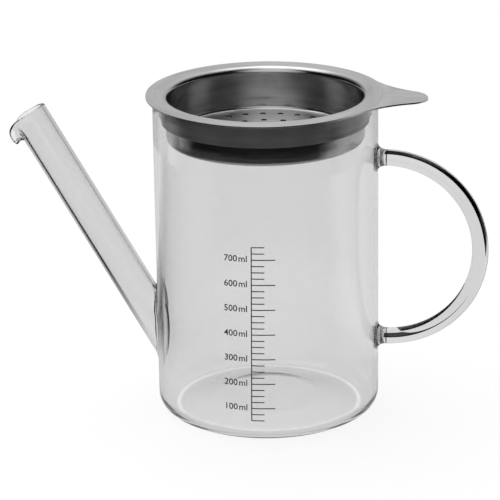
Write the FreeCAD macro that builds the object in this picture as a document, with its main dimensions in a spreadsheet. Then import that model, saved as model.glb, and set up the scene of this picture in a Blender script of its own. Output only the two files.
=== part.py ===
import FreeCAD, Part
import math
import os
import Sketcher

# A glass jug that pours from the bottom through a slanted tube, so that the fat stays behind, with a steel
# strainer seated in its mouth on a silicone ring. Z is up and the origin is on the table, on the jug's axis.
# The spout points to -X, the handle and the strainer's tab to +X.

Vector = FreeCAD.Vector
doc = FreeCAD.newDocument("FatSeparator")

# Driving sizes, in millimetres and degrees

driving_sizes = [
    ("jug_radius", 53.0, "outside of the glass wall"),
    ("glass_wall", 2.0, "thickness of the wall"),
    ("rim_height", 154.1, "top of the fire-polished rim"),
    ("corner_radius", 8.3, "outer corner between wall and foot"),
    ("foot_width", 3.0, "flat ring that the jug stands on"),
    ("base_thickness", 2.6, "glass in the base"),
    ("base_rise", 3.0, "push-up of the base inside the foot ring"),
    ("base_flat_radius", 24.0, "flat middle of the pushed-up base"),
    ("spout_diameter", 17.3, "outside of the pouring tube"),
    ("spout_wall", 1.7, "thickness of the tube"),
    ("spout_lean", 30.35, "tube's lean from the vertical"),
    ("spout_root_height", 38.3, "where the tube's axis meets the wall"),
    ("spout_length", 121.0, "from there to the mouth, along the axis"),
    ("lip_length", 6.8, "length of wall that is turned out at the mouth"),
    ("lip_drop", 4.8, "how much lower the turn starts at the front"),
    ("lip_turn", 130.0, "how far the front of the lip is rolled over"),
    ("lip_spread", 75.0, "half of the mouth's arc that the lip takes"),
    ("spout_weld_width", 2.0, "melted glass along the wall, round the tube"),
    ("spout_weld_height", 3.6, "the same, up the tube"),
    ("spout_weld_hollow", 0.3, "share that its face is pulled in towards the corner"),
    ("root_reach", 28.0, "how far the bars for the tube pass the wall"),
    ("rod_diameter", 7.8, "handle rod"),
    ("handle_radius", 44.5, "bend of the rod, to its middle"),
    ("handle_drop", 72.7, "from the rim down to the middle of the handle"),
    ("handle_foot", 4.2, "from the wall to the end of the rod"),
    ("handle_flare", 3.0, "how far a foot spreads on the wall"),
    ("handle_flare_curve", 4.8, "hollow curve of that spread"),
    ("sheet", 0.8, "steel of the strainer"),
    ("cup_depth", 21.1, "inside, from the flange's top to the floor"),
    ("cup_corner", 1.8, "inside corner at the floor"),
    ("shoulder_radius", 2.0, "bend between wall and flange"),
    ("flange_overhang", 3.1, "how far the flange passes the glass"),
    ("tab_length", 20.5, "how far the tab passes the flange"),
    ("tab_tip_radius", 10.5, "rounding of the tab's tip"),
    ("tab_flank_radius", 45.0, "hollow curve from the tab into the flange"),
    ("tab_overlap", 3.0, "how far the tab's outline reaches into the flange"),
    ("hole_diameter", 3.0, "one hole of the floor"),
    ("first_ring", 5.0, "radius of the innermost ring of holes"),
    ("floor_margin", 7.9, "from the outermost ring of holes to the strainer's wall"),
    ("seal_lip", 0.7, "silicone between rim and flange"),
    ("seal_lip_setback", 0.6, "how far that lip stays inside the glass"),
    ("seal_wall", 4.1, "silicone between the mouth and the strainer"),
    ("seal_plug_height", 4.4, "part of the seal that fills the mouth"),
    ("seal_taper_height", 3.8, "cone below it"),
    ("seal_taper", 1.6, "how much that cone draws in"),
    ("seal_step", 0.4, "step below the cone"),
    ("seal_skirt_height", 2.6, "straight part below the step"),
    ("mouth_gap", 0.1, "between seal and glass"),
    ("cup_gap", 0.1, "between seal and strainer"),
    ("seat_gap", 0.05, "between seal and flange"),
]
holes_per_ring = [4, 10, 18, 28]
lip_sections = 24
lip_steps = 4

sheet = doc.addObject("Spreadsheet::Sheet", "Sizes")
for row, (alias, number, note) in enumerate(driving_sizes, start=1):
    sheet.set(f"A{row}", alias)
    sheet.set(f"B{row}", str(number))
    sheet.set(f"C{row}", note)
    sheet.setAlias(f"B{row}", alias)
doc.recompute()

# Heights and radii that several pieces share

jug_bore = "(Sizes.jug_radius - Sizes.glass_wall)"
flange_top = "(Sizes.rim_height + Sizes.seal_lip + Sizes.seat_gap + Sizes.sheet)"
flange_under = "(Sizes.rim_height + Sizes.seal_lip + Sizes.seat_gap)"
cup_floor = f"({flange_top} - Sizes.cup_depth)"
plug_radius = f"({jug_bore} - Sizes.mouth_gap)"
seal_bore = f"({plug_radius} - Sizes.seal_wall)"
cup_outside = f"({seal_bore} - Sizes.cup_gap)"
cup_radius = f"({cup_outside} - Sizes.sheet)"
flange_radius = "(Sizes.jug_radius + Sizes.flange_overhang)"
floor_ring = "(Sizes.jug_radius - Sizes.corner_radius)"
rod_radius = "(Sizes.rod_diameter / 2)"
rod_end = "(Sizes.jug_radius + Sizes.handle_foot)"
handle_height = "(Sizes.rim_height - Sizes.handle_drop)"


def size(expression):
    """The number that an expression on the sheet gives now."""
    value = sheet.evalExpression(expression)
    return float(getattr(value, "Value", value))


def origin_plane(body, role):
    return next(feature for feature in body.Origin.OriginFeatures if feature.Role == role)


def new_body(name):
    body = doc.addObject("PartDesign::Body", name)
    body.Label = name
    return body


def new_sketch(body, name, role):
    sketch = body.newObject("Sketcher::SketchObject", name)
    sketch.AttachmentSupport = [(origin_plane(body, role), "")]
    sketch.MapMode = "FlatFace"
    return sketch


def arc_through(start, end, radius, bulge):
    """Arc from start to end; a bulge of 1 keeps its centre on the left of the way, -1 on the right."""
    chord = end - start
    middle = (start + end) * 0.5
    left = Vector(-chord.y, chord.x, 0).normalize()
    rise = math.sqrt(max(radius**2 - (chord.Length / 2) ** 2, 0))
    centre = middle + left * (rise * bulge)
    top = centre - left * (radius * bulge)
    return Part.Arc(start, top, end) if bulge > 0 else Part.Arc(end, top, start)


def draw_profile(sketch, steps):
    """Closed outline: each step is an end point, and for an arc also its radius and side."""
    corners = [Vector(size(step[0]), size(step[1]), 0) for step in steps]
    for number, step in enumerate(steps):
        start, end = corners[number - 1], corners[number]
        if len(step) == 2:
            sketch.addGeometry(Part.LineSegment(start, end))
        else:
            sketch.addGeometry(arc_through(start, end, size(step[2]), step[3]))
    count = len(steps)
    ends = []
    for number, step in enumerate(steps):
        # A clockwise arc is drawn the other way round, so its end is looked up.
        geometry = sketch.Geometry[number]
        forward = geometry.EndPoint.distanceToPoint(corners[number]) < 1e-6
        ends.append((1, 2) if forward else (2, 1))
    for number in range(count):
        following = (number + 1) % count
        sketch.addConstraint(
            Sketcher.Constraint("Coincident", number, ends[number][1], following, ends[following][0])
        )
    for number, step in enumerate(steps):
        for kind, expression, place in (
            ("DistanceX", step[0], corners[number].x),
            ("DistanceY", step[1], corners[number].y),
        ):
            index = sketch.addConstraint(
                Sketcher.Constraint(kind, -1, 1, number, ends[number][1], place)
            )
            sketch.setExpression(f"Constraints[{index}]", expression)
        if len(step) > 2:
            radius = Sketcher.Constraint("Radius", number, size(step[2]))
            index = sketch.addConstraint(radius)
            sketch.setExpression(f"Constraints[{index}]", step[2])


def revolve(body, name, steps, axis="V_Axis"):
    sketch = new_sketch(body, f"{name}_profile", "XZ_Plane")
    draw_profile(sketch, steps)
    turned = body.newObject("PartDesign::Revolution", name)
    turned.Profile = sketch
    turned.ReferenceAxis = (sketch, [axis])
    turned.Angle = 360
    body.Tip = turned
    return turned


def bind(item, **expressions):
    for prop, expression in expressions.items():
        item.setExpression(prop.replace("_at_", "."), expression)
    return item


def boolean(kind, name, base, tool):
    result = doc.addObject(kind, name)
    result.Base = base
    result.Tool = tool
    result.Label = name
    return result


# The glass wall's outside, as a solid cylinder: whatever is welded to the wall is trimmed to it.

jug_outside = doc.addObject("Part::Cylinder", "jug_outside")
bind(jug_outside, Radius="Sizes.jug_radius", Height="Sizes.rim_height")


# Glass beaker: blown, so its base is pushed up inside a flat foot ring and its rim is melted round.

beaker_blank = new_body("beaker_blank")
inner_corner = "(Sizes.corner_radius - Sizes.glass_wall)"
revolve(
    beaker_blank,
    "beaker_wall",
    [
        ("0 mm", "Sizes.base_rise + Sizes.base_thickness"),
        ("0 mm", "Sizes.base_rise"),
        ("Sizes.base_flat_radius", "Sizes.base_rise"),
        (f"{floor_ring} - Sizes.foot_width", "0 mm"),
        (floor_ring, "0 mm"),
        ("Sizes.jug_radius", "Sizes.corner_radius", "Sizes.corner_radius", 1),
        ("Sizes.jug_radius", "Sizes.rim_height - Sizes.glass_wall / 2"),
        ("Sizes.jug_radius - Sizes.glass_wall / 2", "Sizes.rim_height", "Sizes.glass_wall / 2", 1),
        (jug_bore, "Sizes.rim_height - Sizes.glass_wall / 2", "Sizes.glass_wall / 2", 1),
        (jug_bore, f"Sizes.base_thickness + {inner_corner}"),
        (f"{jug_bore} - {inner_corner}", "Sizes.base_thickness", inner_corner, -1),
        (f"{floor_ring} - Sizes.foot_width", "Sizes.base_thickness"),
        ("Sizes.base_flat_radius", "Sizes.base_rise + Sizes.base_thickness"),
    ],
)

# The tube's axis runs from the wall up and outwards; what is made on it in code is placed by this turn.

spout_place = FreeCAD.Placement(
    Vector(-size("Sizes.jug_radius"), 0, size("Sizes.spout_root_height")),
    FreeCAD.Rotation(Vector(0, 1, 0), -size("Sizes.spout_lean")),
)
spout_axis = spout_place.Rotation.multVec(Vector(0, 0, 1))
tube_radius = "(Sizes.spout_diameter / 2)"
tube_bore = "(Sizes.spout_diameter / 2 - Sizes.spout_wall)"


def on_spout(item, along):
    """Puts an item on the tube's axis, a signed distance along it from the wall."""
    bind(
        item,
        Placement_at_Base_at_x=f"-Sizes.jug_radius - ({along}) * sin(Sizes.spout_lean)",
        Placement_at_Base_at_z=f"Sizes.spout_root_height + ({along}) * cos(Sizes.spout_lean)",
        Placement_at_Rotation_at_Angle="-Sizes.spout_lean",
    )


def spout_cylinder(name, radius, below, above):
    """Round bar on the tube's axis, from one distance below the wall to one above it."""
    bar = doc.addObject("Part::Cylinder", name)
    bar.Placement.Rotation = FreeCAD.Rotation(Vector(0, 1, 0), -size("Sizes.spout_lean"))
    bind(bar, Radius=radius, Height=f"({above}) + ({below})")
    on_spout(bar, f"-({below})")
    return bar


# The cut through the thin wall only has to pass it, and stays clear of the far side of the jug.

wall_cut = spout_cylinder("wall_cut", tube_bore, "Sizes.root_reach", "Sizes.root_reach")
boolean("Part::Cut", "glass_beaker", beaker_blank, wall_cut)


# Spout: plain tube up to the lip zone, trimmed to the wall at its root.

straight_length = "(Sizes.spout_length - Sizes.lip_length - Sizes.lip_drop - Sizes.spout_wall)"
tube_bar = spout_cylinder("tube_bar", tube_radius, "Sizes.root_reach", straight_length)
tube_core = spout_cylinder("tube_core", tube_bore, "Sizes.root_reach * 1.1", f"{straight_length} * 1.1")
tube_blank = boolean("Part::Cut", "tube_blank", tube_bar, tube_core)
tube_trimmed = boolean("Part::Cut", "tube_trimmed", tube_blank, jug_outside)


def around_tube(angle, radius, along):
    """Point of the tube: 0 degrees is its upper back, 180 its lower front."""
    turn = math.radians(angle)
    return Vector(radius * math.cos(turn), radius * math.sin(turn), along)


def lip_wire(angle):
    """Section through the tube's wall at one angle. Towards the front the wall starts to turn out lower
    down and turns further, so the mouth is drawn into a lip that rolls over and lets no drop run back."""
    spread = size("Sizes.lip_spread")
    off_front = abs(180.0 - angle)
    pull = math.cos(math.radians(90 * off_front / spread)) ** 2 if off_front < spread else 0.0
    turn = math.radians(size("Sizes.lip_turn")) * pull
    length = size("Sizes.lip_length")
    half_wall = size("Sizes.spout_wall") / 2
    middle_radius = size(tube_radius) - half_wall
    top = size("Sizes.spout_length") - half_wall
    start = top - length - size("Sizes.lip_drop") * pull**6
    foot = size(straight_length)

    def wall_point(along, side):
        bend = turn * along / length
        if turn > 1e-6:
            out = length / turn * (1 - math.cos(bend))
            up = length / turn * math.sin(bend)
        else:
            out, up = 0.0, along
        radius = middle_radius + out + side * half_wall * math.cos(bend)
        return around_tube(angle, radius, start + up - side * half_wall * math.sin(bend))

    steps = range(lip_steps + 1)
    outer = [wall_point(length * step / lip_steps, 1) for step in steps]
    inner = [wall_point(length * step / lip_steps, -1) for step in reversed(steps)]
    tip_radius = middle_radius + half_wall * math.sin(turn)
    tip_up = start + half_wall * math.cos(turn)
    if turn > 1e-6:
        tip_radius += length / turn * (1 - math.cos(turn))
        tip_up += length / turn * math.sin(turn)
    else:
        tip_up += length
    tip = around_tube(angle, tip_radius, tip_up)
    foot_outer = around_tube(angle, middle_radius + half_wall, foot)
    foot_inner = around_tube(angle, middle_radius - half_wall, foot)
    corners = [foot_outer, *outer, tip, *inner, foot_inner]
    return Part.makePolygon([*corners, foot_outer])


lip_wires = [lip_wire(360.0 * number / lip_sections) for number in range(lip_sections)]
lip = doc.addObject("Part::Feature", "lip")
lip.Shape = Part.makeLoft(lip_wires, True, True, True)
lip.Placement = spout_place
spout_tube = boolean("Part::Fuse", "spout_tube", tube_trimmed, lip)


# Weld round the spout's root: a fillet of melted glass between tube and wall, turned about the tube's axis.

def saddle_point(angle, radius):
    """Where a line of the tube, at an angle and radius from its axis, meets the jug's wall."""
    local = around_tube(angle, radius, 0)
    foot = spout_place.multVec(local)
    across = spout_axis.x**2
    dot = foot.x * spout_axis.x
    reach = size("Sizes.jug_radius") ** 2 - foot.x**2 - foot.y**2
    along = (-dot + math.sqrt(dot**2 + across * reach)) / across
    return foot + spout_axis * along


def weld_wire(angle):
    """Three-sided section with a hollow face: corner, up the tube, and out along the wall."""
    radius = size(tube_radius)
    corner = saddle_point(angle, radius)
    up_tube = corner + spout_axis * size("Sizes.spout_weld_height")
    on_wall = saddle_point(angle, radius + size("Sizes.spout_weld_width"))
    middle = (up_tube + on_wall) * 0.5
    hollow = middle + (corner - middle) * size("Sizes.spout_weld_hollow")
    return Part.makePolygon([corner, up_tube, hollow, on_wall, corner])


weld_wires = [weld_wire(360.0 * number / lip_sections) for number in range(lip_sections)]
weld_blank = doc.addObject("Part::Feature", "weld_blank")
weld_blank.Shape = Part.makeLoft(weld_wires, True, True, True)
weld_outside = boolean("Part::Cut", "weld_outside", weld_blank, jug_outside)
boolean("Part::Cut", "spout_weld", weld_outside, tube_bar)


# Handle: a rod bent to a half circle, between two flared feet on the wall.

handle_rod = doc.addObject("Part::Torus", "handle_rod")
handle_rod.Label = "handle_rod"
handle_rod.Angle3 = 180
handle_rod.Placement.Rotation = FreeCAD.Rotation(
    Vector(0, 0, -1), Vector(1, 0, 0), Vector(0, -1, 0), "XYZ"
)
bind(
    handle_rod,
    Radius1="Sizes.handle_radius",
    Radius2=rod_radius,
    Placement_at_Base_at_x=rod_end,
    Placement_at_Base_at_z=handle_height,
)


def handle_weld(name, height):
    """Solid foot of melted glass: the rod's section at its outer end, spreading where it meets the wall."""
    foot = new_body(f"{name}_blank")
    spread = f"({rod_radius} + Sizes.handle_flare)"
    inside = "(Sizes.jug_radius - Sizes.handle_foot)"
    revolve(
        foot,
        f"{name}_turned",
        [
            (inside, "0 mm"),
            (rod_end, "0 mm"),
            (rod_end, rod_radius),
            ("Sizes.jug_radius", spread, "Sizes.handle_flare_curve", -1),
            (inside, spread),
        ],
        axis="H_Axis",
    )
    bind(foot, Placement_at_Base_at_z=height)
    return boolean("Part::Cut", name, foot, jug_outside)


handle_weld("handle_upper_weld", f"{handle_height} + Sizes.handle_radius")
handle_weld("handle_lower_weld", f"{handle_height} - Sizes.handle_radius")


# Seal: a lip over the glass rim, a plug that fills the mouth, a cone and a short skirt on the cup.

seal_ring = new_body("seal_ring")
lip_radius = "(Sizes.jug_radius - Sizes.seal_lip_setback)"
cone_top = "(Sizes.rim_height - Sizes.seal_plug_height)"
cone_foot = f"({cone_top} - Sizes.seal_taper_height)"
skirt_radius = f"({plug_radius} - Sizes.seal_taper - Sizes.seal_step)"
seal_top = "(Sizes.rim_height + Sizes.seal_lip)"
bend_room = "(Sizes.shoulder_radius - Sizes.sheet)"
revolve(
    seal_ring,
    "seal_turned",
    [
        (seal_bore, f"{seal_top} - {bend_room}"),
        (seal_bore, f"{cone_foot} - Sizes.seal_skirt_height"),
        (skirt_radius, f"{cone_foot} - Sizes.seal_skirt_height"),
        (skirt_radius, cone_foot),
        (f"{plug_radius} - Sizes.seal_taper", cone_foot),
        (plug_radius, cone_top),
        (plug_radius, "Sizes.rim_height"),
        (lip_radius, "Sizes.rim_height"),
        (lip_radius, seal_top),
        (f"{seal_bore} + {bend_room}", seal_top),
    ],
)


# Strainer: drawn from one sheet, then trimmed with its tab and punched.

strainer = new_body("strainer")
outer_corner = "(Sizes.cup_corner + Sizes.sheet)"
revolve(
    strainer,
    "strainer_drawn",
    [
        ("0 mm", cup_floor),
        ("0 mm", f"{cup_floor} - Sizes.sheet"),
        (f"{cup_outside} - {outer_corner}", f"{cup_floor} - Sizes.sheet"),
        (cup_outside, f"{cup_floor} - Sizes.sheet + {outer_corner}", outer_corner, 1),
        (cup_outside, f"{flange_under} - {bend_room}"),
        (f"{cup_outside} + {bend_room}", flange_under, bend_room, -1),
        (flange_radius, flange_under),
        (flange_radius, flange_top),
        (f"{cup_radius} + Sizes.shoulder_radius", flange_top),
        (cup_radius, f"{flange_top} - Sizes.shoulder_radius", "Sizes.shoulder_radius", 1),
        (cup_radius, f"{cup_floor} + Sizes.cup_corner"),
        (f"{cup_radius} - Sizes.cup_corner", cup_floor, "Sizes.cup_corner", -1),
    ],
)


# The tab's outline: two hollow flanks that touch the flange's circle, and a round tip.

tip_centre = f"({flange_radius} + Sizes.tab_length - Sizes.tab_tip_radius)"
flank_way = f"({flange_radius} + Sizes.tab_flank_radius)"
tip_way = "(Sizes.tab_tip_radius + Sizes.tab_flank_radius)"
leave_cos = f"(({flank_way}^2 + {tip_centre}^2 - {tip_way}^2) / (2 * {flank_way} * {tip_centre}))"
leave_sin = f"sqrt(1 - {leave_cos}^2)"
tip_share = f"(Sizes.tab_tip_radius / {tip_way})"
join_x = f"({tip_centre} + ({flank_way} * {leave_cos} - {tip_centre}) * {tip_share})"
join_y = f"({flank_way} * {leave_sin} * {tip_share})"
inner_radius = f"({flange_radius} - Sizes.tab_overlap)"

tab_sketch = new_sketch(strainer, "tab_outline", "XY_Plane")
draw_profile(
    tab_sketch,
    [
        (f"{flange_radius} * {leave_cos}", f"{flange_radius} * {leave_sin}"),
        (join_x, join_y, "Sizes.tab_flank_radius", 1),
        (join_x, f"-{join_y}", "Sizes.tab_tip_radius", -1),
        (f"{flange_radius} * {leave_cos}", f"-{flange_radius} * {leave_sin}",
         "Sizes.tab_flank_radius", 1),
        (f"{inner_radius} * {leave_cos}", f"-{inner_radius} * {leave_sin}"),
        (f"{inner_radius} * {leave_cos}", f"{inner_radius} * {leave_sin}"),
    ],
)
bind(tab_sketch, AttachmentOffset_at_Base_at_z=flange_under)
tab = strainer.newObject("PartDesign::Pad", "tab")
tab.Profile = tab_sketch
bind(tab, Length="Sizes.sheet")
strainer.Tip = tab
doc.recompute()


# Punched floor: one hole a ring, repeated about the axis.

last_ring = f"({cup_radius} - Sizes.floor_margin)"
ring_pitch = f"(({last_ring} - Sizes.first_ring) / {len(holes_per_ring) - 1})"


def punch_ring(number, count):
    sketch = new_sketch(strainer, f"ring_{number}", "XY_Plane")
    ring_radius = f"Sizes.first_ring + {number} * {ring_pitch}"
    circle = Part.Circle(Vector(size(ring_radius), 0, 0), Vector(0, 0, 1), size("Sizes.hole_diameter") / 2)
    sketch.addGeometry(circle)
    sketch.addConstraint(Sketcher.Constraint("PointOnObject", 0, 3, -1))
    index = sketch.addConstraint(Sketcher.Constraint("DistanceX", -1, 1, 0, 3, size(ring_radius)))
    sketch.setExpression(f"Constraints[{index}]", ring_radius)
    index = sketch.addConstraint(Sketcher.Constraint("Diameter", 0, size("Sizes.hole_diameter")))
    sketch.setExpression(f"Constraints[{index}]", "Sizes.hole_diameter")
    bind(sketch, AttachmentOffset_at_Base_at_z=f"{cup_floor} + Sizes.sheet")
    punch = strainer.newObject("PartDesign::Pocket", f"punch_{number}")
    punch.Profile = sketch
    bind(punch, Length="3 * Sizes.sheet")
    doc.recompute()
    pattern = strainer.newObject("PartDesign::PolarPattern", f"punched_{number}")
    pattern.Originals = [punch]
    pattern.Axis = (sketch, ["N_Axis"])
    pattern.Angle = 360
    pattern.Occurrences = count
    strainer.Tip = pattern
    doc.recompute()


for ring_number, hole_count in enumerate(holes_per_ring):
    punch_ring(ring_number, hole_count)

doc.recompute()

# Checks, then one file for each piece

piece_names = [
    "glass_beaker",
    "spout_tube",
    "spout_weld",
    "handle_rod",
    "handle_upper_weld",
    "handle_lower_weld",
    "seal_ring",
    "strainer",
]

for item in doc.Objects:
    if "Invalid" in item.State or "Error" in item.State:
        raise RuntimeError(f"{item.Label} did not compute: {item.State}")

os.makedirs("parts", exist_ok=True)
for piece_name in piece_names:
    piece = doc.getObjectsByLabel(piece_name)[0]
    shape = piece.Shape
    if shape.isNull() or not shape.isValid() or len(shape.Solids) != 1:
        raise RuntimeError(f"{piece_name} is not one valid solid")
    print(piece_name, round(shape.Volume, 1), [round(v, 2) for v in (
        shape.BoundBox.XMin, shape.BoundBox.XMax, shape.BoundBox.YMin, shape.BoundBox.YMax,
        shape.BoundBox.ZMin, shape.BoundBox.ZMax)])
    shape.exportStep(f"parts/{piece_name}.step")
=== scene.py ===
import math

import bmesh
import bpy
import numpy as np
from mathutils import Matrix, Vector


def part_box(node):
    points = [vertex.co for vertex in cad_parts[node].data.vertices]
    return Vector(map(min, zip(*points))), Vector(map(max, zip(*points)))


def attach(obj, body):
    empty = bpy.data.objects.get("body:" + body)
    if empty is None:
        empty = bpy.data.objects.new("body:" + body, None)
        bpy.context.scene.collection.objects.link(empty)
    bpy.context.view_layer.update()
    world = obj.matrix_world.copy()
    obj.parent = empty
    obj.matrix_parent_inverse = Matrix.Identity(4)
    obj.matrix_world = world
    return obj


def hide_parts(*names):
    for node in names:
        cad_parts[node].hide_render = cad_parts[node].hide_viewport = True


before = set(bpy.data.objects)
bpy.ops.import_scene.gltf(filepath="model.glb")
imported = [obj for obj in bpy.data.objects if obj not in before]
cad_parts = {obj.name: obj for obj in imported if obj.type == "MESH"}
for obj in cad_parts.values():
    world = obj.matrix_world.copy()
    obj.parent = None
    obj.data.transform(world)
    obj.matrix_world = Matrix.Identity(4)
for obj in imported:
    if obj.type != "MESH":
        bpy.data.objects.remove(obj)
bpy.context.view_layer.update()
mm = 0.001
print("frame loaded:", ", ".join(sorted(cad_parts)))

# What several pieces share is read from the frame, in millimetres
beakerLow, beakerHigh = (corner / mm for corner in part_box("glass_beaker"))
strainerLow, strainerHigh = (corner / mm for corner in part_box("strainer"))
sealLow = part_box("seal_ring")[0] / mm
jugRadius = (beakerHigh.y - beakerLow.y) / 2
rimHeight = beakerHigh.z
flangeTop = strainerHigh.z
flangeRadius = -strainerLow.x
glassWall = 2.0
sheet = 0.8
sharpFrom = 30          # degrees between two faces from which their edge is sharp
arcStep = 7.5           # degrees from point to point of a rounding, about


# surfaces from numbers, in millimetres


def makePiece(name, points, faces, material, smoothAngle=sharpFrom, closed=True):
    # points in millimetres, an (n, 3) array; faces a list of index rows, turned round if they face inwards
    mesh = bpy.data.meshes.new(name)
    mesh.from_pydata(np.asarray(points) * mm, [], faces)
    mesh.validate()
    mesh.update()
    if closed:
        shell = bmesh.new()
        shell.from_mesh(mesh)
        if shell.calc_volume(signed=True) < 0:
            mesh.flip_normals()
        shell.free()
    mesh.materials.append(material)
    mesh.shade_smooth()
    mesh.set_sharp_from_angle(angle=math.radians(smoothAngle))
    piece = bpy.data.objects.new(name, mesh)
    bpy.context.scene.collection.objects.link(piece)
    return piece


def gridFaces(rows, columns, closedRows=False, closedColumns=True):
    # quads of a grid whose points are stored row by row
    rowCount = rows if closedRows else rows - 1
    columnCount = columns if closedColumns else columns - 1
    row, column = np.meshgrid(np.arange(rowCount), np.arange(columnCount), indexing="ij")
    nextRow, nextColumn = (row + 1) % rows, (column + 1) % columns
    quads = np.stack([row * columns + column, row * columns + nextColumn,
                      nextRow * columns + nextColumn, nextRow * columns + column], axis=-1)
    return quads.reshape(-1, 4)


def fan(pole, ring, flipped):
    # triangles from one point to a closed ring of points
    centre, following = np.full(len(ring), pole), np.roll(ring, -1)
    return np.stack([centre, following, ring] if flipped else [centre, ring, following], axis=-1)


def outline(corners):
    # A polyline through corners (across, up, rounding): each corner is cut back along both of its sides by
    # rounding * tan(turn / 2) and bridged by an arc, so a rounding of 0 leaves it sharp.
    places = np.array([corner[:2] for corner in corners], float)
    points = [places[:1]]
    for number in range(1, len(corners) - 1):
        rounding = corners[number][2]
        here = places[number]
        back = places[number - 1] - here
        ahead = places[number + 1] - here
        back, ahead = back / np.hypot(*back), ahead / np.hypot(*ahead)
        turn = math.pi - math.acos(np.clip(back @ ahead, -1, 1))
        if rounding <= 0 or turn < 1e-4:
            points.append(here[None])
            continue
        cut = rounding * math.tan(turn / 2)
        centre = here + (back + ahead) / np.linalg.norm(back + ahead) * math.hypot(cut, rounding)
        steps = max(3, int(math.degrees(turn) / arcStep))
        share = np.linspace(0, 1, steps + 1)[:, None]
        start, end = here + back * cut - centre, here + ahead * cut - centre
        arc = (np.sin((1 - share) * turn) * start + np.sin(share * turn) * end) / math.sin(turn)
        points.append(centre + arc)
    points.append(places[-1:])
    return np.vstack(points)


def subdivided(line, longest):
    # the same polyline with no stretch longer than given
    pieces = []
    for start, end in zip(line[:-1], line[1:]):
        steps = max(1, int(math.ceil(np.hypot(*(end - start)) / longest)))
        pieces.append(start + (end - start) * np.linspace(0, 1, steps, endpoint=False)[:, None])
    return np.vstack(pieces + [line[-1:]])


def turned(line, segments):
    # A profile (radius, height) carried round Z; its ends on the axis become single points.
    # Heights rise on the outside, so that faces point outwards.
    closedLoop = line[0, 0] > 1e-6
    rings = line if closedLoop else line[1:-1]
    angle = np.arange(segments) / segments * 2 * math.pi
    x = rings[:, 0][:, None] * np.cos(angle)
    y = rings[:, 0][:, None] * np.sin(angle)
    z = np.repeat(rings[:, 1][:, None], segments, axis=1)
    points = np.stack([x, y, z], axis=-1).reshape(-1, 3)
    faces = gridFaces(len(rings), segments, closedRows=closedLoop)
    if closedLoop:
        return points, faces.tolist()
    first, last = len(points), len(points) + 1
    points = np.vstack([points, [0, 0, line[0, 1]], [0, 0, line[-1, 1]]])
    ring = np.arange(segments)
    capped = [fan(first, ring, True), fan(last, ring + (len(rings) - 1) * segments, False)]
    return points, faces.tolist() + capped[0].tolist() + capped[1].tolist()


def combine(piece, other, operation):
    # cuts the other shape out of the piece, or fuses it on, then drops the other
    step = piece.modifiers.new("combine", "BOOLEAN")
    step.operation = operation
    step.solver = "EXACT"
    step.object = other
    ready = piece.evaluated_get(bpy.context.evaluated_depsgraph_get())
    mesh = bpy.data.meshes.new_from_object(ready)
    piece.modifiers.clear()
    piece.data = mesh
    mesh.shade_smooth()
    mesh.set_sharp_from_angle(angle=math.radians(sharpFrom))
    bpy.data.objects.remove(other)


# shader maths


class Socket:
    # one output of a shader node; sums, products and powers of it add Math nodes
    def __init__(self, tree, output):
        self.tree, self.output = tree, output

    def beside(self, name):
        # another output of the same node
        return Socket(self.tree, self.output.node.outputs[name])

    def add(self, kind, settings=None, inputs=None, give=0):
        node = self.tree.nodes.new("ShaderNode" + kind)
        for key, value in (settings or {}).items():
            if key == "stops":
                ramp = node.color_ramp
                while len(ramp.elements) < len(value):
                    ramp.elements.new(0.5)
                for element, (place, level) in zip(ramp.elements, value):
                    element.position, element.color = place, (level, level, level, 1)
            else:
                setattr(node, key, value)
        for key, value in (inputs or {}).items():
            if isinstance(value, Socket):
                self.tree.links.new(value.output, node.inputs[key])
            else:
                node.inputs[key].default_value = value
        return Socket(self.tree, node.outputs[give])

    def maths(self, operation, first, second=0.0):
        return self.add("Math", {"operation": operation}, {0: first, 1: second})

    def __add__(self, other):
        return self.maths("ADD", self, other)

    def __sub__(self, other):
        return self.maths("SUBTRACT", self, other)

    def __rsub__(self, other):
        return self.maths("SUBTRACT", other, self)

    def __mul__(self, other):
        return self.maths("MULTIPLY", self, other)

    def __pow__(self, other):
        return self.maths("POWER", self, other)


def newMaterial(name):
    material = bpy.data.materials.new(name)
    material.use_nodes = True
    material.node_tree.nodes.clear()
    return material, Socket(material.node_tree, None)


def useSurface(start, surface, volume=None):
    out = start.tree.nodes.new("ShaderNodeOutputMaterial")
    start.tree.links.new(surface.output, out.inputs["Surface"])
    if volume:
        start.tree.links.new(volume.output, out.inputs["Volume"])


def mixColours(start, share, low, high):
    return start.add("Mix", {"data_type": "RGBA"}, {0: share, 6: (*low, 1), 7: (*high, 1)}, give=2)


# materials

glassLook = {
    "ior": 1.5,
    "wallTint": 0.865,       # of white, through one wall
    "rodTint": 0.72,         # the same, through a solid rod
    "absorption": 6.0,       # per metre of glass, darkens the edges
    "absorbed": (0.3, 0.33, 0.34),
    "roughness": 0.0,
    "waviness": 0.006,
    "waveSize": 0.05,
    "waveDepth": 0.004,
    "smudgesPerMetre": 240.0,
    "smudgeTint": 0.985,     # of the clean glass
    "shadowTint": 0.86,
}


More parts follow.
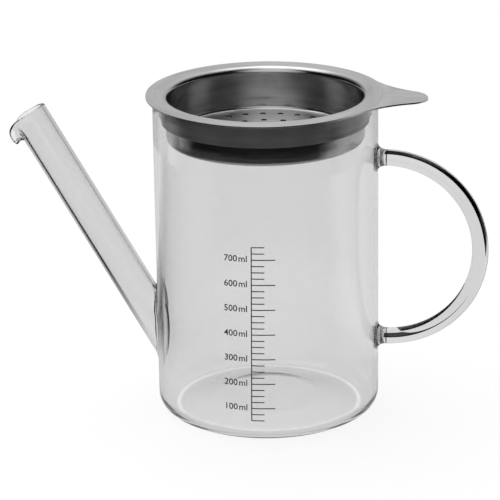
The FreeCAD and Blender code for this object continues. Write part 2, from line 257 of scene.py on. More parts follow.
def makeGlass(name, tint):
    material, start = newMaterial(name)
    place = start.add("TexCoord", give="Object")
    waves = start.add("TexNoise", {}, {"Vector": place, "Scale": 1 / glassLook["waveSize"], "Detail": 1.0})
    specks = start.add("TexNoise", {}, {
        "Vector": place, "Scale": glassLook["smudgesPerMetre"], "Detail": 2.0})
    bump = start.add("Bump", {}, {
        "Strength": glassLook["waviness"], "Distance": glassLook["waveDepth"], "Height": waves})
    smudge = start.add("ValToRGB", {"stops": [(0.45, 0.0), (0.75, 1.0)]}, {"Fac": specks})
    colour = mixColours(start, smudge, (tint,) * 3, (tint * glassLook["smudgeTint"],) * 3)
    glass = start.add("BsdfPrincipled", {}, {
        "Base Color": colour,
        "Roughness": glassLook["roughness"],
        "IOR": glassLook["ior"],
        "Transmission Weight": 1.0,
        "Normal": bump,
    })
    shade = glassLook["shadowTint"]
    clear = start.add("BsdfTransparent", {}, {"Color": (shade, shade, shade, 1)})
    shadowRay = start.add("LightPath", give="Is Shadow Ray")
    surface = start.add("MixShader", {}, {0: shadowRay, 1: glass, 2: clear})
    volume = start.add("VolumeAbsorption", {}, {
        "Color": (*glassLook["absorbed"], 1), "Density": glassLook["absorption"]})
    useSurface(start, surface, volume)
    return material


steelLook = {
    "dark": 0.42,
    "light": 0.64,
    "wallRoughness": 0.16,
    "floorRoughness": 0.36,
    "flangeRoughness": 0.33,
    "paintedHoleShade": 0.06,              # painted shade: the punched sides of the holes, coloured near black
    "holesWithin": 42.0,
    "roughnessSpread": 0.2,
    "anisotropy": 0.4,
    "anisotropyTurn": 0.25,
    "linesPerMetre": 900,
    "lineLength": 2.2,             # noise steps in a radian of brushing
    "tabLineLength": 12,           # times lineLength: noise steps in a metre of the tab's brushing
    "tabBlend": 150,               # per metre: how fast the brushing turns lengthwise past the flange
    "bandWidth": 7,                # in lines
    "bandLength": 2,               # in line lengths
    "lineStrength": 0.35,
    "lineDepth": 0.00005,
    "floorReach": 0.5,             # how far above the floor its roughness goes
    "flangeReach": 1.2,            # the same below the flange's top
}


def makeSteel(name):
    # Brushed round the axis, and lengthwise on the tab: noise that changes fast across the strokes and
    # slowly along them. A broader noise of the same kind makes the bands.
    material, start = newMaterial(name)
    place = start.add("TexCoord", give="Object")
    x = start.add("SeparateXYZ", {}, {0: place}, give=0)
    y, z = x.beside(1), x.beside(2)
    radius = (x * x + y * y) ** 0.5
    angle = start.maths("ARCTAN2", y, x)

    def strokes(lines, length, detail):
        across = start.add("CombineXYZ", {}, {0: radius * lines, 1: angle * length, 2: z * lines})
        lengthwise = start.add("CombineXYZ", {}, {
            0: x * (length * steelLook["tabLineLength"]), 1: y * lines, 2: z * lines})
        settings = {"Scale": 1.0, "Detail": detail, "Roughness": 0.6}
        around = start.add("TexNoise", {}, {"Vector": across, **settings})
        straight = start.add("TexNoise", {}, {"Vector": lengthwise, **settings})
        pastFlange = (x - flangeRadius * mm) * steelLook["tabBlend"]
        onTab = start.add("ValToRGB", {"stops": [(0.0, 0.0), (1.0, 1.0)]}, {"Fac": pastFlange})
        return around + (straight - around) * onTab

    lines, length = steelLook["linesPerMetre"], steelLook["lineLength"]
    brushed = strokes(lines, length, 3.0)
    bands = strokes(lines / steelLook["bandWidth"], length / steelLook["bandLength"], 2.0)
    share = start.add("ValToRGB", {"stops": [(0.3, 0.0), (0.7, 1.0)]}, {"Fac": brushed * 0.5 + bands * 0.5})
    grey = mixColours(start, share, (steelLook["dark"],) * 3, (steelLook["light"],) * 3)
    floorTop, floorUnder, skin = strainerLow.z + sheet, strainerLow.z, 0.04
    # painted shade: the punched sides of the holes through the floor are coloured near black, as if they lay
    # in shade
    shadedHoleSides = (start.maths("LESS_THAN", z, (floorTop - skin) * mm)
              * start.maths("GREATER_THAN", z, (floorUnder + skin) * mm)
              * start.maths("LESS_THAN", radius, steelLook["holesWithin"] * mm))
    paintedHoleShade = (*(steelLook["paintedHoleShade"],) * 3, 1)
    grey = start.add("Mix", {"data_type": "RGBA"}, {0: shadedHoleSides, 6: grey, 7: paintedHoleShade}, give=2)
    onFloor = start.maths("LESS_THAN", z, (floorTop + steelLook["floorReach"]) * mm)
    onFlange = start.maths("GREATER_THAN", z, (flangeTop - steelLook["flangeReach"]) * mm)
    wall = steelLook["wallRoughness"]
    rough = (brushed - 0.5) * steelLook["roughnessSpread"] + wall
    rough = rough + onFloor * (steelLook["floorRoughness"] - wall)
    rough = rough + onFlange * (steelLook["flangeRoughness"] - wall)
    bump = start.add("Bump", {}, {
        "Strength": steelLook["lineStrength"], "Distance": steelLook["lineDepth"], "Height": brushed + bands})
    steel = start.add("BsdfPrincipled", {}, {
        "Base Color": grey, "Metallic": 1.0, "Roughness": rough, "Normal": bump,
        "Anisotropic": steelLook["anisotropy"], "Anisotropic Rotation": steelLook["anisotropyTurn"]})
    useSurface(start, steel)
    return material


siliconeLook = {
    "colour": (0.13, 0.13, 0.132),
    "dusty": (0.17, 0.17, 0.173),
    "roughness": 0.38,
    "roughnessSpread": 0.12,
    "grainsPerMetre": 2500.0,
    "cloudsPerMetre": 90.0,
    "grainStrength": 0.25,
    "grainDepth": 0.00005,
}


def makeSilicone(name):
    material, start = newMaterial(name)
    place = start.add("TexCoord", give="Object")
    grain = start.add("TexNoise", {}, {
        "Vector": place, "Scale": siliconeLook["grainsPerMetre"], "Detail": 2.0})
    cloud = start.add("TexNoise", {}, {
        "Vector": place, "Scale": siliconeLook["cloudsPerMetre"], "Detail": 3.0})
    dust = start.add("ValToRGB", {"stops": [(0.4, 0.0), (0.8, 1.0)]}, {"Fac": cloud})
    colour = mixColours(start, dust, siliconeLook["colour"], siliconeLook["dusty"])
    bump = start.add("Bump", {}, {
        "Strength": siliconeLook["grainStrength"], "Distance": siliconeLook["grainDepth"], "Height": grain})
    rough = grain * siliconeLook["roughnessSpread"] + siliconeLook["roughness"]
    silicone = start.add("BsdfPrincipled", {}, {"Base Color": colour, "Roughness": rough, "Normal": bump})
    useSurface(start, silicone)
    return material


printLook = {
    "ink": (0.02, 0.02, 0.022),
    "worn": (0.06, 0.06, 0.063),
    "roughness": 0.55,
    "roughnessSpread": 0.2,
    "speckScale": 1800.0,
}


def makeInk(name):
    material, start = newMaterial(name)
    place = start.add("TexCoord", give="Object")
    cloud = start.add("TexNoise", {}, {"Vector": place, "Scale": printLook["speckScale"], "Detail": 3.0})
    worn = start.add("ValToRGB", {"stops": [(0.5, 0.0), (0.85, 1.0)]}, {"Fac": cloud})
    colour = mixColours(start, worn, printLook["ink"], printLook["worn"])
    spread = printLook["roughnessSpread"]
    rough = cloud * spread + (printLook["roughness"] - spread / 2)
    ink = start.add("BsdfPrincipled", {}, {"Base Color": colour, "Roughness": rough})
    useSurface(start, ink)
    return material


wallGlass = makeGlass("clearGlassWall", glassLook["wallTint"])
rodGlass = makeGlass("clearGlassRod", glassLook["rodTint"])
brushedSteel = makeSteel("brushedSteel")
darkSilicone = makeSilicone("darkSilicone")
scaleInk = makeInk("scaleInk")
print("materials made")


# the spout's frame: a straight axis that leans away from the jug, measured from the wall

spout = {
    "radius": 8.65,
    "wall": 1.7,
    "lean": math.radians(30.35),
    "rootHeight": 38.3,
    "length": 121.0,
    "lipLength": 6.8,
    "lipDrop": 4.8,
    "lipTurn": math.radians(130),
    "lipSpread": math.radians(75),
    "sunk": 0.6,               # into the jug's wall, which it is fused with
    "around": 144,
    "tubeRows": 30,
    "bendRows": 17,
    "edgeRows": 9,
    "cutterSides": 96,         # of the bar that opens the wall into the bore
    "cutterSpare": 0.02,       # how much thinner than the bore it is
    "cutterReach": 28.0,       # along the axis on both sides of the wall
}
spoutRoot = np.array([-jugRadius, 0.0, spout["rootHeight"]])
spoutAxis = np.array([-math.sin(spout["lean"]), 0.0, math.cos(spout["lean"])])
spoutBack = np.array([math.cos(spout["lean"]), 0.0, math.sin(spout["lean"])])
spoutSide = np.array([0.0, 1.0, 0.0])


def onSpout(angle, radius, along):
    # angle 0 is the tube's upper back and pi its lower front
    return (spoutRoot + (radius * np.cos(angle))[..., None] * spoutBack
            + (radius * np.sin(angle))[..., None] * spoutSide + along[..., None] * spoutAxis)


def alongToWall(angle, radius, wallRadius):
    # how far along the tube's axis a line of the tube meets the jug's wall: the root of a quadratic
    foot = onSpout(angle, radius, np.zeros_like(radius * angle))
    across = spoutAxis[0] ** 2
    dot = foot[..., 0] * spoutAxis[0]
    reach = wallRadius ** 2 - foot[..., 0] ** 2 - foot[..., 1] ** 2
    return (-dot + np.sqrt(dot ** 2 + across * reach)) / across


# glass beaker

beaker = {
    "cornerRadius": 8.3,
    "footWidth": 3.0,
    "baseThickness": 2.6,
    "baseRise": 3.0,
    "baseFlatRadius": 24.0,
    "around": 256,
    "rowHeight": 5.0,
}


def makeBeaker():
    # closed profile: under the base, up the outside, over the melted rim, down the inside
    inner = jugRadius - glassWall
    foot = jugRadius - beaker["cornerRadius"] - beaker["footWidth"]
    thick, rise, flat = beaker["baseThickness"], beaker["baseRise"], beaker["baseFlatRadius"]
    corner = beaker["cornerRadius"]
    hair = 0.001    # keeps two roundings on one side from meeting in a point
    profile = outline([
        (0, rise, 0),
        (flat, rise, 30),
        (foot, 0, 12),
        (jugRadius, 0, corner - hair),
        (jugRadius, rimHeight, glassWall / 2 - hair),
        (inner, rimHeight, glassWall / 2 - hair),
        (inner, thick, corner - glassWall),
        (foot, thick, 12),
        (flat, thick + rise, 30),
        (0, thick + rise, 0),
    ])
    points, faces = turned(subdivided(profile, beaker["rowHeight"]), beaker["around"])
    return makePiece("glassBeaker", points, faces, wallGlass)


def makeBoreCutter():
    # a bar on the spout's axis that passes the jug's near wall only, a hair thinner than the tube's bore
    sides, reach = spout["cutterSides"], spout["cutterReach"]
    bore = spout["radius"] - spout["wall"] - spout["cutterSpare"]
    angle, along = np.meshgrid(np.arange(sides) / sides * 2 * math.pi, [-reach, reach])
    points = onSpout(angle, np.full_like(angle, bore), along)
    ends = [list(range(sides))[::-1], list(range(sides, 2 * sides))]
    return makePiece("boreCutter", points.reshape(-1, 3), gridFaces(2, sides).tolist() + ends, wallGlass)


# spout


def makeSpout():
    # One wall section per angle, carried round the tube: up the outside from the jug's wall, round the
    # lip's bend, over its melted edge and down the inside. Towards the front the bend starts lower and
    # turns further: pull = cos(90 deg * off-front / spread) squared, turn = full turn * pull.
    angle = np.arange(spout["around"]) / spout["around"] * 2 * math.pi
    offFront, spread = np.abs(math.pi - angle), spout["lipSpread"]
    pull = np.where(offFront < spread, np.cos(math.pi / 2 * offFront / spread) ** 2, 0)
    turn = np.maximum(spout["lipTurn"] * pull, 1e-5)
    half = spout["wall"] / 2
    middle = spout["radius"] - half
    length = spout["lipLength"]
    start = spout["length"] - half - length - spout["lipDrop"] * pull ** 6

    def bent(share, side):
        bend = turn * share
        radius = middle + length / turn * (1 - np.cos(bend)) + side * half * np.cos(bend)
        along = start + length / turn * np.sin(bend) - side * half * np.sin(bend)
        return radius, along

    rows = []
    rootRadius = jugRadius - spout["sunk"]
    outside = np.full_like(angle, spout["radius"])
    inside = np.full_like(angle, spout["radius"] - spout["wall"])
    outerRoot = alongToWall(angle, outside, rootRadius)
    innerRoot = alongToWall(angle, inside, rootRadius)
    for share in np.linspace(0, 1, spout["tubeRows"])[:-1]:
        rows.append((outside, outerRoot + (start - outerRoot) * share))
    for share in np.linspace(0, 1, spout["bendRows"]):
        rows.append(bent(share, 1))
    tipRadius = middle + length / turn * (1 - np.cos(turn))
    tipAlong = start + length / turn * np.sin(turn)
    for swing in np.linspace(0, math.pi, spout["edgeRows"])[1:-1]:
        # a half circle from the outer face to the inner one
        out, up = half * math.cos(swing), half * math.sin(swing)
        rows.append((tipRadius + out * np.cos(turn) + up * np.sin(turn),
                     tipAlong - out * np.sin(turn) + up * np.cos(turn)))
    for share in np.linspace(1, 0, spout["bendRows"]):
        rows.append(bent(share, -1))
    for share in np.linspace(1, 0, spout["tubeRows"])[1:]:
        rows.append((inside, innerRoot + (start - innerRoot) * share))
    for share in (0.33, 0.67):
        radius = inside + (outside - inside) * share
        rows.append((radius, alongToWall(angle, radius, rootRadius)))
    radius = np.array([row[0] for row in rows])
    along = np.array([row[1] for row in rows])
    points = onSpout(np.broadcast_to(angle, radius.shape), radius, along)
    faces = gridFaces(len(rows), spout["around"], closedRows=True)
    return makePiece("spoutTube", points.reshape(-1, 3), faces.tolist(), wallGlass)


# the last two are shares of its size, in 5 broad and 11 narrow waves round the bead
weld = {"width": 2.0, "height": 3.6, "hollow": 0.3, "sunk": 0.06, "steps": 10, "swell": 0.10, "ripple": 0.06}


def makeSpoutWeld():
    # Carried round the tube: a section with its corner where tube and wall meet, one side up the tube,
    # one along the wall, and a hollow face between, a parabola through both ends pulled to the corner.
    angle = np.arange(spout["around"]) / spout["around"] * 2 * math.pi
    outside = np.full_like(angle, spout["radius"] - weld["sunk"])
    wallRadius = jugRadius - weld["sunk"]
    corner = onSpout(angle, outside, alongToWall(angle, outside, wallRadius))
    ripple = 1 + weld["swell"] * np.sin(5 * angle + 0.6) + weld["ripple"] * np.sin(11 * angle)
    wide = outside + weld["width"] * ripple
    onWall = onSpout(angle, wide, alongToWall(angle, wide, wallRadius))
    upTube = corner + spoutAxis * (weld["height"] * ripple)[:, None]
    rows = [corner]
    for share in np.linspace(0, 1, weld["steps"]):
        straight = onWall + (upTube - onWall) * share
        pulled = straight + (corner - straight) * (weld["hollow"] * 4 * share * (1 - share))
        rows.append(pulled)
    points = np.array(rows)
    faces = gridFaces(len(rows), spout["around"], closedRows=True)
    return makePiece("spoutWeld", points.reshape(-1, 3), faces.tolist(), wallGlass, smoothAngle=50)


# The real jug is one melted piece here, so no inner face is left between beaker, bead and tube
glassBeaker = makeBeaker()
combine(glassBeaker, makeSpout(), "UNION")
combine(glassBeaker, makeSpoutWeld(), "UNION")
combine(glassBeaker, makeBoreCutter(), "DIFFERENCE")
glassBeaker.name = "glassJugWithSpout"
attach(glassBeaker, "jug")
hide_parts("glass_beaker", "spout_tube", "spout_weld")
print("glass jug and spout made")


# handle: a bent rod between two flared feet

handle = {"radius": 3.9, "bend": 44.5, "middle": 81.4, "foot": 4.2, "flare": 3.0, "around": 64, "along": 160}


def closedTube(name, rings, firstEnd, lastEnd):
    # rings of points, closed by a fan at either end
    rows, around = rings.shape[:2]
    points = np.vstack([rings.reshape(-1, 3), firstEnd, lastEnd])
    ring = np.arange(around)
    faces = gridFaces(rows, around).tolist()
    faces += fan(len(points) - 2, ring, True).tolist()
    faces += fan(len(points) - 1, ring + (rows - 1) * around, False).tolist()
    return makePiece(name, points, faces, rodGlass)


def makeRod():
    # a circle carried along a half circle in the XZ plane, closed by flat ends
    swing = np.linspace(-math.pi / 2, math.pi / 2, handle["along"])[:, None]
    angle = (np.arange(handle["around"]) / handle["around"] * 2 * math.pi)[None, :]
    reach = handle["bend"] + handle["radius"] * np.cos(angle)
    x = jugRadius + handle["foot"] + reach * np.cos(swing)
    y = -handle["radius"] * np.sin(angle) + 0 * swing
    z = handle["middle"] + reach * np.sin(swing)
    lowEnd = [jugRadius + handle["foot"], 0, handle["middle"] - handle["bend"]]
    highEnd = [jugRadius + handle["foot"], 0, handle["middle"] + handle["bend"]]
    return closedTube("handleRod", np.stack([x, y, z], axis=-1), lowEnd, highEnd)


def makeHandleFoot(name, height):
    # Turned about a line along X: the rod's radius at the outer end, and on the wall wider by
    # flare * (1 - sin) as a quarter circle seen from outside. Both ends are closed, one on the wall.
    share = np.linspace(0, 1, 16)
    radius = handle["radius"] + handle["flare"] * (1 - np.sin(share * math.pi / 2))
    reach = handle["foot"] * (1 - np.cos(share * math.pi / 2))
    angle = (np.arange(handle["around"]) / handle["around"] * 2 * math.pi)[None, :]
    fullRadius = np.concatenate([radius[0] * np.array([0.25, 0.5, 0.75]), radius,
                                 handle["radius"] * np.array([0.66, 0.33])])[:, None]
    fullReach = np.concatenate([np.zeros(3), reach, np.full(2, handle["foot"])])[:, None]
    y = fullRadius * np.cos(angle)
    z = fullRadius * np.sin(angle)
    wall = np.sqrt(jugRadius ** 2 - y ** 2)
    x = wall + (jugRadius + handle["foot"] - wall) * fullReach / handle["foot"]
    rings = np.stack([x, y, z + height], axis=-1)
    return closedTube(name, rings, [jugRadius, 0, height], [jugRadius + handle["foot"], 0, height])


upperFoot = makeHandleFoot("handleUpperWeld", handle["middle"] + handle["bend"])
lowerFoot = makeHandleFoot("handleLowerWeld", handle["middle"] - handle["bend"])
rod = makeRod()
for piece, node in ((rod, "handle_rod"), (upperFoot, "handle_upper_weld"), (lowerFoot, "handle_lower_weld")):
    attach(piece, "jug")
    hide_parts(node)
print("handle made")


# strainer's sizes, which the seal shares

strainer = {
    "cupRadius": 45.9,
    "cupDepth": 21.1,
    "floorCorner": 1.8,
    "shoulder": 3.0,
    "edge": 0.1,
    "tabTipRadius": 10.5,
    "tabFlankRadius": 45.0,
    "dish": 0.35,              # how deep the tab is dished, and where and how wide
    "dishStart": 60.0,
    "dishFade": 8.0,
    "dishWidth": 6.0,
    "holeRadius": 1.5,
    "holeSides": 24,
    # radius, holes and the first hole's angle in degrees
    "rings": [(5.0, 4, 0.0), (16.0, 10, 0.0), (27.0, 18, 0.3), (38.0, 28, -2.36)],
    "around": 400,
    "crowding": 0.72,          # draws the samples together near the tab, 0 for even steps
    "rowHeight": 4.0,
    "bendReach": 4.0,          # from the cup's wall to where the flange is flat
}


# seal

seal = {
    "lip": 0.7,
    "lipRadius": 52.4,
    "plug": 4.4,
    "taper": 3.8,
    "drawn": 1.6,
    "step": 0.4,
    "edge": 0.25,
    "gap": 0.1,                # to the strainer inside it and to the jug outside it
    "around": 256,
}


def makeSeal():
    # closed profile: down the bore's foot, up the plug's outside, over the lip and down the bore again
    bore = strainer["cupRadius"] + sheet + seal["gap"]
    plug = jugRadius - glassWall - seal["gap"]
    cone = rimHeight - seal["plug"]
    foot = cone - seal["taper"]
    edge = seal["edge"]
    room = strainer["shoulder"] - sheet
    loop = [
        (bore, sealLow.z + 3, 0),
        (bore, sealLow.z, edge),
        (plug - seal["drawn"] - seal["step"], sealLow.z, 0.8),
        (plug - seal["drawn"] - seal["step"], foot, 0.15),
        (plug - seal["drawn"], foot, edge),
        (plug, cone, edge),
        (plug, rimHeight, 0.2),
        (seal["lipRadius"], rimHeight, edge),
        (seal["lipRadius"], rimHeight + seal["lip"], edge),
        (bore + room, rimHeight + seal["lip"], 0.3),
        (bore, rimHeight + seal["lip"] - room, 0.3),
        (bore, sealLow.z + 3, 0),
    ]
    points, faces = turned(outline(loop)[:-1], seal["around"])
    return makePiece("sealRing", points, faces, darkSilicone, smoothAngle=40)


sealRing = makeSeal()
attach(sealRing, "seal")
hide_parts("seal_ring")
print("seal made")


# strainer


def tabReach(angle):
    # The strainer's outer edge by angle: the flange's circle, then on each side of the tab a hollow arc
    # that touches it, then the round tip; each is where a ray from the axis meets that circle.
    flange, tip, flank = flangeRadius, strainer["tabTipRadius"], strainer["tabFlankRadius"]
    tipCentre = strainerHigh.x - tip
    far = flange + flank
    leave = math.acos((far ** 2 + tipCentre ** 2 - (tip + flank) ** 2) / (2 * far * tipCentre))
    centre = far * np.array([math.cos(leave), math.sin(leave)])
    toFlank = centre - np.array([tipCentre, 0])
    join = np.array([tipCentre, 0]) + toFlank / np.linalg.norm(toFlank) * tip
    joinAngle = math.atan2(join[1], join[0])
    off = np.abs((angle + math.pi) % (2 * math.pi) - math.pi)
    dot = np.cos(off) * centre[0] + np.sin(off) * centre[1]
    onFlank = dot - np.sqrt(np.maximum(dot ** 2 - (far ** 2 - flank ** 2), 0))
    dot = np.cos(off) * tipCentre
    onTip = dot + np.sqrt(np.maximum(dot ** 2 - (tipCentre ** 2 - tip ** 2), 0))
    return np.where(off > leave, flange, np.where(off > joinAngle, onFlank, onTip))


def makeStrainer():
    # One sheet profile per angle, carried round the axis with the samples drawn together near the tab;
    # the flat flange stretches out to the edge that tabReach gives.
    cup, corner, shoulder = strainer["cupRadius"], strainer["floorCorner"], strainer["shoulder"]
    floor, flangeUnder = flangeTop - strainer["cupDepth"], flangeTop - sheet
    start = cup + strainer["bendReach"]
    inner = outline([(0, floor, 0), (cup, floor, corner), (cup, flangeTop, shoulder), (start, flangeTop, 0)])
    outer = outline([(start, flangeUnder, 0), (cup + sheet, flangeUnder, shoulder - sheet),
                     (cup + sheet, floor - sheet, corner + sheet), (0, floor - sheet, 0)])
    inner, outer = subdivided(inner, strainer["rowHeight"]), subdivided(outer, strainer["rowHeight"])
    steps = np.arange(strainer["around"]) / strainer["around"] * 2 * math.pi
    angle = steps - strainer["crowding"] * np.sin(steps)
    edge = strainer["edge"]
    reach = tabReach(angle)
    flatWidth = reach - edge - start
    rows = [(radius, height) for radius, height in inner[1:]]
    for share in np.linspace(0, 1, 9)[1:]:
        rows.append((start + flatWidth * share, flangeTop))
    for swing in np.radians([30, 60, 90]):
        rows.append((reach - edge + edge * math.sin(swing), flangeTop - edge + edge * math.cos(swing)))
    for swing in np.radians([0, 30, 60, 90]):
        rows.append((reach - edge + edge * math.cos(swing),
                     flangeTop - sheet + edge - edge * math.sin(swing)))
    for share in np.linspace(1, 0, 9)[1:]:
        rows.append((start + flatWidth * share, flangeUnder))
    rows += [(radius, height) for radius, height in outer[1:-1]]
    radius = np.array([np.broadcast_to(row[0], angle.shape) for row in rows])
    height = np.array([np.broadcast_to(row[1], angle.shape) for row in rows])
    x, y = radius * np.cos(angle), radius * np.sin(angle)
    # the tab is dished along its length: deepest on the middle line, and it fades towards the flange
    outward = np.clip((radius - strainer["dishStart"]) / strainer["dishFade"], 0, 1) ** 2
    onTab = outward * np.where(np.cos(angle) > 0.8, 1, 0)
    dish = strainer["dish"] * onTab * np.exp(-(y / strainer["dishWidth"]) ** 2)
    points = np.stack([x, y, height - dish], axis=-1).reshape(-1, 3)
    points = np.vstack([points, [0, 0, floor], [0, 0, floor - sheet]])
    ring = np.arange(strainer["around"])
    faces = gridFaces(len(rows), strainer["around"])[:, ::-1].tolist()
    faces += fan(len(points) - 2, ring, False).tolist()
    faces += fan(len(points) - 1, ring + (len(rows) - 1) * strainer["around"], True).tolist()
    return makePiece("steelStrainer", points, faces, brushedSteel)


def makePunches():
    # upright bars through the floor, one for each hole
    below, above = 2.0, 0.9
    floor = flangeTop - strainer["cupDepth"]
    centres = []
    for ring, count, first in strainer["rings"]:
        turn = math.radians(first) + np.arange(count) / count * 2 * math.pi
        centres.append(ring * np.stack([np.cos(turn), np.sin(turn)], axis=-1))
    centres = np.vstack(centres)
    sides = strainer["holeSides"]
    angle = np.arange(sides) / sides * 2 * math.pi
    circle = strainer["holeRadius"] * np.stack([np.cos(angle), np.sin(angle)], axis=-1)
    flat = centres[:, None, None, :] + circle[None, None, :, :]
    flat = np.broadcast_to(flat, (len(centres), 2, sides, 2))
    ends = np.array([floor - below, floor + above])[None, :, None, None]
    up = np.broadcast_to(ends, (len(centres), 2, sides, 1))
    points = np.concatenate([flat, up], axis=-1).reshape(-1, 3)
    faces = []
    for number in range(len(centres)):
        base = number * 2 * sides
        faces += (gridFaces(2, sides) + base).tolist()
        faces.append([base + side for side in reversed(range(sides))])
        faces.append([base + sides + side for side in range(sides)])
    return makePiece("punches", points, faces, brushedSteel)


strainerPiece = makeStrainer()
combine(strainerPiece, makePunches(), "DIFFERENCE")
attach(strainerPiece, "strainer")
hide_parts("strainer")
print("strainer made")


# printed measure: a line with ticks and plain numbers, on the glass

measure = {
    "lineAngle": math.radians(-89.4),
    "askew": math.radians(0.0115),     # for each millimetre of height
    "mlHeight": 0.12212,               # millimetres of level for 1 ml
    "zeroHeight": 5.5,
    "lowest": 50,
    "highest": 750,
    "every": 25,
    "longEvery": 100,
    "shortTick": math.radians(6.5),
    "longTick": math.radians(11.9),
    "lineWidth": 0.5,
    "textEnd": math.radians(-2.2),
    "textHeight": 3.2,
    "textRaise": 0.5,
    "wordSpace": 0.35,                 # of the font's own
    "boldness": 0.012,                 # of the font's size
    "lift": 0.03,                      # off the glass
}


def onGlass(angle, height):
    radius = jugRadius + measure["lift"]
    angle = angle + measure["askew"] * (height - rimHeight / 2)
    return np.stack([radius * np.cos(angle), radius * np.sin(angle), height], axis=-1)


def makeLabel(words):
    # the words as flat outlines, their right end and foot at 0 and their height textHeight
    label = bpy.data.curves.new("label", "FONT")
    label.body = words
    label.space_word = measure["wordSpace"]
    label.offset = measure["boldness"]
    label.resolution_u = 3
    holder = bpy.data.objects.new("label", label)
    bpy.context.scene.collection.objects.link(holder)
    ready = holder.evaluated_get(bpy.context.evaluated_depsgraph_get())
    flat = bpy.data.meshes.new_from_object(ready)
    places = np.zeros(len(flat.vertices) * 3)
    flat.vertices.foreach_get("co", places)
    across, up = places.reshape(-1, 3)[:, :2].T
    size = measure["textHeight"] / (up.max() - up.min())
    across, up = (across - across.max()) * size, (up - up.min()) * size
    faces = [list(face.vertices) for face in flat.polygons]
    bpy.data.objects.remove(holder)
    bpy.data.curves.remove(label)
    bpy.data.meshes.remove(flat)
    return across, up, faces


def makeMeasure():
    # strips and words that lie on the cylinder, angle for across and height for up
    points, faces = [], []

    def add(block, blockFaces):
        base = sum(len(earlier) for earlier in points)
        points.append(block)
        faces.extend([base + corner for corner in face] for face in blockFaces)

    def strip(angleFrom, angleTo, low, high, steps):
        angle = np.linspace(angleFrom, angleTo, steps + 1)
        edges = [onGlass(angle, np.full_like(angle, height)) for height in (low, high)]
        add(np.vstack(edges), gridFaces(2, steps + 1, closedColumns=False).tolist())

    half = measure["lineWidth"] / 2
    halfAngle = half / jugRadius
    levels = range(measure["lowest"], measure["highest"] + 1, measure["every"])
    heights = {level: measure["zeroHeight"] + measure["mlHeight"] * level for level in levels}
    top, bottom = heights[measure["highest"]], heights[measure["lowest"]]
    line = measure["lineAngle"]
    strip(line - halfAngle, line + halfAngle, bottom, top, 1)
    for level, height in heights.items():
        if level % measure["longEvery"]:
            strip(line, line + measure["shortTick"], height - half, height + half, 7)
            continue
        strip(line, line + measure["longTick"], height - half, height + half, 12)
        across, up, labelFaces = makeLabel(f"{level} ml")
        rise = height + measure["textRaise"] - measure["textHeight"] / 2 + up
        add(onGlass(line + measure["textEnd"] + across / jugRadius, rise), labelFaces)
    return makePiece("printedMeasure", np.vstack(points), faces, scaleInk, closed=False)


printedMeasure = makeMeasure()
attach(printedMeasure, "jug")
print("printed measure made")


# stage, light and camera, in metres

stage = {
    "floorRadius": 0.45,
    "floorSides": 96,
    "floorColour": 0.36,
    "floorGlow": 0.80,
    "floorMirroredFront": 0.03,
    "floorMirroredBack": 0.8,
    "floorMirroredNear": 0.7,
    "nearRadius": 0.16,
    # x and y ranges of dark cards, which show only through one thickness of glass, such as the rod
    "lowerCard": ((0.062, 0.16), (-0.06, 0.05)),
    "upperCard": ((-0.05, 0.062), (0.06, 0.2)),
    "backLight": 0.62,
    "overheadLight": 1.1,
    "wideBelow": 0.1,              # the strip behind has its full width up to this height of direction
    "frontLight": 0.85,
    "frontWay": (0, -1, 0.6),
    "roomLight": 0.004,
    "diffuseLight": 0.3,
    "boxPower": 4.2,
    "boxSize": 0.9,
    "boxPlace": (-0.15, 0.1, 1.1),
    "boxAim": (0, 0, 0.08),
}


def makeFloor():
    # A round pale table top. Its glow makes it white to the camera and through glass, its own colour
    # keeps the shadow, and reflections see it bright behind and near the jug and dark in front.
    sides = stage["floorSides"]
    angle = np.arange(sides) / sides * 2 * math.pi
    rim = stage["floorRadius"] * np.stack([np.cos(angle), np.sin(angle), 0 * angle], axis=-1)
    mesh = bpy.data.meshes.new("floor")
    mesh.from_pydata(rim, [], [list(range(sides))])
    floor = bpy.data.objects.new("floor", mesh)
    bpy.context.scene.collection.objects.link(floor)
    material, start = newMaterial("paleFloor")
    path = start.add("LightPath", give="Is Camera Ray")
    through, diffuse = path.beside("Is Transmission Ray"), path.beside("Is Diffuse Ray")
    unmirrored = start.maths("LESS_THAN", path.beside("Glossy Depth"), 0.5)
    place = start.add("TexCoord", give="Object")
    x = start.add("SeparateXYZ", {}, {0: place}, give=0)
    y = x.beside(1)

    def between(axis, low, high):
        return axis.maths("GREATER_THAN", axis, low) * axis.maths("LESS_THAN", axis, high)

    card = 0.0
    for rangeX, rangeY in (stage["lowerCard"], stage["upperCard"]):
        card = between(x, *rangeX) * between(y, *rangeY) + card
    # in and out of the glass once is two crossings
    card = card * start.maths("LESS_THAN", path.beside("Transmission Depth"), 2.5)
    seen = start.maths("MINIMUM", path + through * unmirrored * (1 - card), 1.0)
    mirroredRay = (1 - unmirrored) * (1 - diffuse)
    ownColour = (1 - through * card) * stage["floorColour"]
    pale = start.add("BsdfDiffuse", {}, {"Color": ownColour})
    glow = start.add("Emission", {}, {"Color": (1, 1, 1, 1), "Strength": seen * stage["floorGlow"]})
    direct = start.add("AddShader", {}, {0: pale, 1: glow})
    frontToBack = [(0.5, stage["floorMirroredFront"]), (0.6, stage["floorMirroredBack"])]
    behind = start.add("ValToRGB", {"stops": frontToBack}, {"Fac": y + x * 0.4 + 0.5})
    away = (x * x + y * y) ** 0.5 * (1 / stage["nearRadius"])
    near = start.add("ValToRGB", {"stops": [(0.6, stage["floorMirroredNear"]), (1.0, 0.0)]}, {"Fac": away})
    rise = start.maths("MAXIMUM", behind, near)
    mirrored = start.add("Emission", {}, {"Color": (1, 1, 1, 1), "Strength": rise})
    useSurface(start, start.add("MixShader", {}, {0: mirroredRay, 1: direct, 2: mirrored}))
    mesh.materials.append(material)


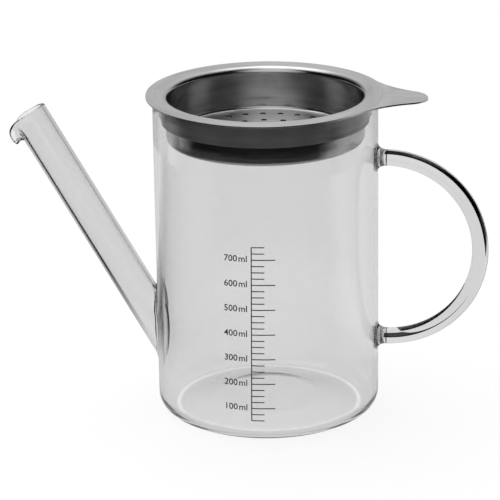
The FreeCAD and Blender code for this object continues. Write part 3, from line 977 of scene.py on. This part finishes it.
def makeWorld():
    # White for what is seen directly or through the glass. Reflections see a studio that is dark apart
    # from a strip light, from the horizon behind up and over the object, and a lamp in front.
    world = bpy.data.worlds.new("studio")
    bpy.context.scene.world = world
    world.use_nodes = True
    tree = world.node_tree
    tree.nodes.clear()
    start = Socket(tree, None)
    path = start.add("LightPath", give="Is Camera Ray")
    through, diffuse = path.beside("Is Transmission Ray"), path.beside("Is Diffuse Ray")
    unmirrored = start.maths("LESS_THAN", path.beside("Glossy Depth"), 0.5)
    direct = start.maths("MINIMUM", path + through * unmirrored, 1.0)
    way = start.add("TexCoord", give="Generated")
    x = start.add("SeparateXYZ", {}, {0: way}, give=0)
    y, z = x.beside(1), x.beside(2)

    # the strip, brighter overhead
    narrow = start.add("ValToRGB", {"stops": [(0.4, 1.0), (0.7, 0.0)]}, {"Fac": start.maths("ABSOLUTE", x)})
    behind = start.add("ValToRGB", {"stops": [(0.44, 0.0), (0.6, 1.0)]}, {"Fac": y * 0.5 + 0.5})
    upwards = [(0.25, stage["backLight"]), (0.85, stage["overheadLight"])]
    level = start.add("ValToRGB", {"stops": upwards}, {"Fac": z})
    low = start.maths("LESS_THAN", z, stage["wideBelow"])
    strip = start.maths("MAXIMUM", narrow, low) * behind * level
    # the lamp, a ramp on the cosine of the angle from its direction
    side, depth, rise = Vector(stage["frontWay"]).normalized()
    cosine = x * side + y * depth + z * rise
    front = start.add("ValToRGB", {"stops": [(0.88, 0.0), (0.985, 1.0)]}, {"Fac": cosine * 0.5 + 0.5})
    room = start.maths("MAXIMUM", strip, front * stage["frontLight"]) + stage["roomLight"]
    lit = diffuse * stage["diffuseLight"] + (1 - diffuse) * room
    shown = direct + (1 - direct) * lit
    shader = start.add("Background", {}, {"Color": (1, 1, 1, 1), "Strength": shown})
    out = tree.nodes.new("ShaderNodeOutputWorld")
    tree.links.new(shader.output, out.inputs["Surface"])


def makeSoftBox():
    lamp = bpy.data.lights.new("softBox", "AREA")
    lamp.energy = stage["boxPower"]
    lamp.shape = "SQUARE"
    lamp.size = stage["boxSize"]
    holder = bpy.data.objects.new("softBox", lamp)
    holder.location = stage["boxPlace"]
    aim = Vector(stage["boxAim"]) - holder.location
    holder.rotation_euler = aim.to_track_quat("-Z", "Y").to_euler()
    bpy.context.scene.collection.objects.link(holder)


camera = {
    "distance": 1.3749,
    "azimuth": math.radians(8.7),
    "elevation": math.radians(19.445),
    "roll": math.radians(-0.721),
    "lens": 206.9,
    "sensor": 36,
    "clip": (0.01, 50),
    "aim": 0.0657,                      # height on the axis that the picture shows at the pixel below
    "aimPixel": (267.056, 274.136),
    "middlePixel": 250,
    "focalPixels": 2873.5,
}


def makeCamera():
    # Looks along a level azimuth and down by the elevation, then turns so that the aim point falls on
    # its pixel, then rolls.
    elevation, distance = camera["elevation"], camera["distance"]
    place = Vector((0, -distance * math.cos(elevation), camera["aim"] + distance * math.sin(elevation)))
    forward = Vector((0, math.cos(elevation), -math.sin(elevation)))
    right = Vector((1, 0, 0))
    up = right.cross(forward)
    aimed = [(pixel - camera["middlePixel"]) / camera["focalPixels"] for pixel in camera["aimPixel"]]
    yaw = math.atan(aimed[0])
    pitch = math.atan(-aimed[1] * math.cos(yaw))
    turn = Matrix.Rotation(yaw, 3, up)
    forward, right = turn @ forward, turn @ right
    tilt = Matrix.Rotation(-pitch, 3, right)
    forward, up = tilt @ forward, tilt @ up
    roll = camera["roll"]
    right, up = right * math.cos(roll) + up * math.sin(roll), up * math.cos(roll) - right * math.sin(roll)
    spin = Matrix.Rotation(camera["azimuth"], 3, "Z")
    place, right, up, forward = (spin @ vector for vector in (place, right, up, forward))
    lens = bpy.data.cameras.new("camera")
    lens.lens = camera["lens"]
    lens.sensor_width = camera["sensor"]
    lens.clip_start, lens.clip_end = camera["clip"]
    holder = bpy.data.objects.new("camera", lens)
    holder.matrix_world = Matrix((
        (right.x, up.x, -forward.x, place.x),
        (right.y, up.y, -forward.y, place.y),
        (right.z, up.z, -forward.z, place.z),
        (0, 0, 0, 1)))
    bpy.context.scene.collection.objects.link(holder)
    bpy.context.scene.camera = holder


makeFloor()
makeWorld()
makeSoftBox()
makeCamera()
bpy.context.scene.view_settings.view_transform = "Standard"
print("stage made")
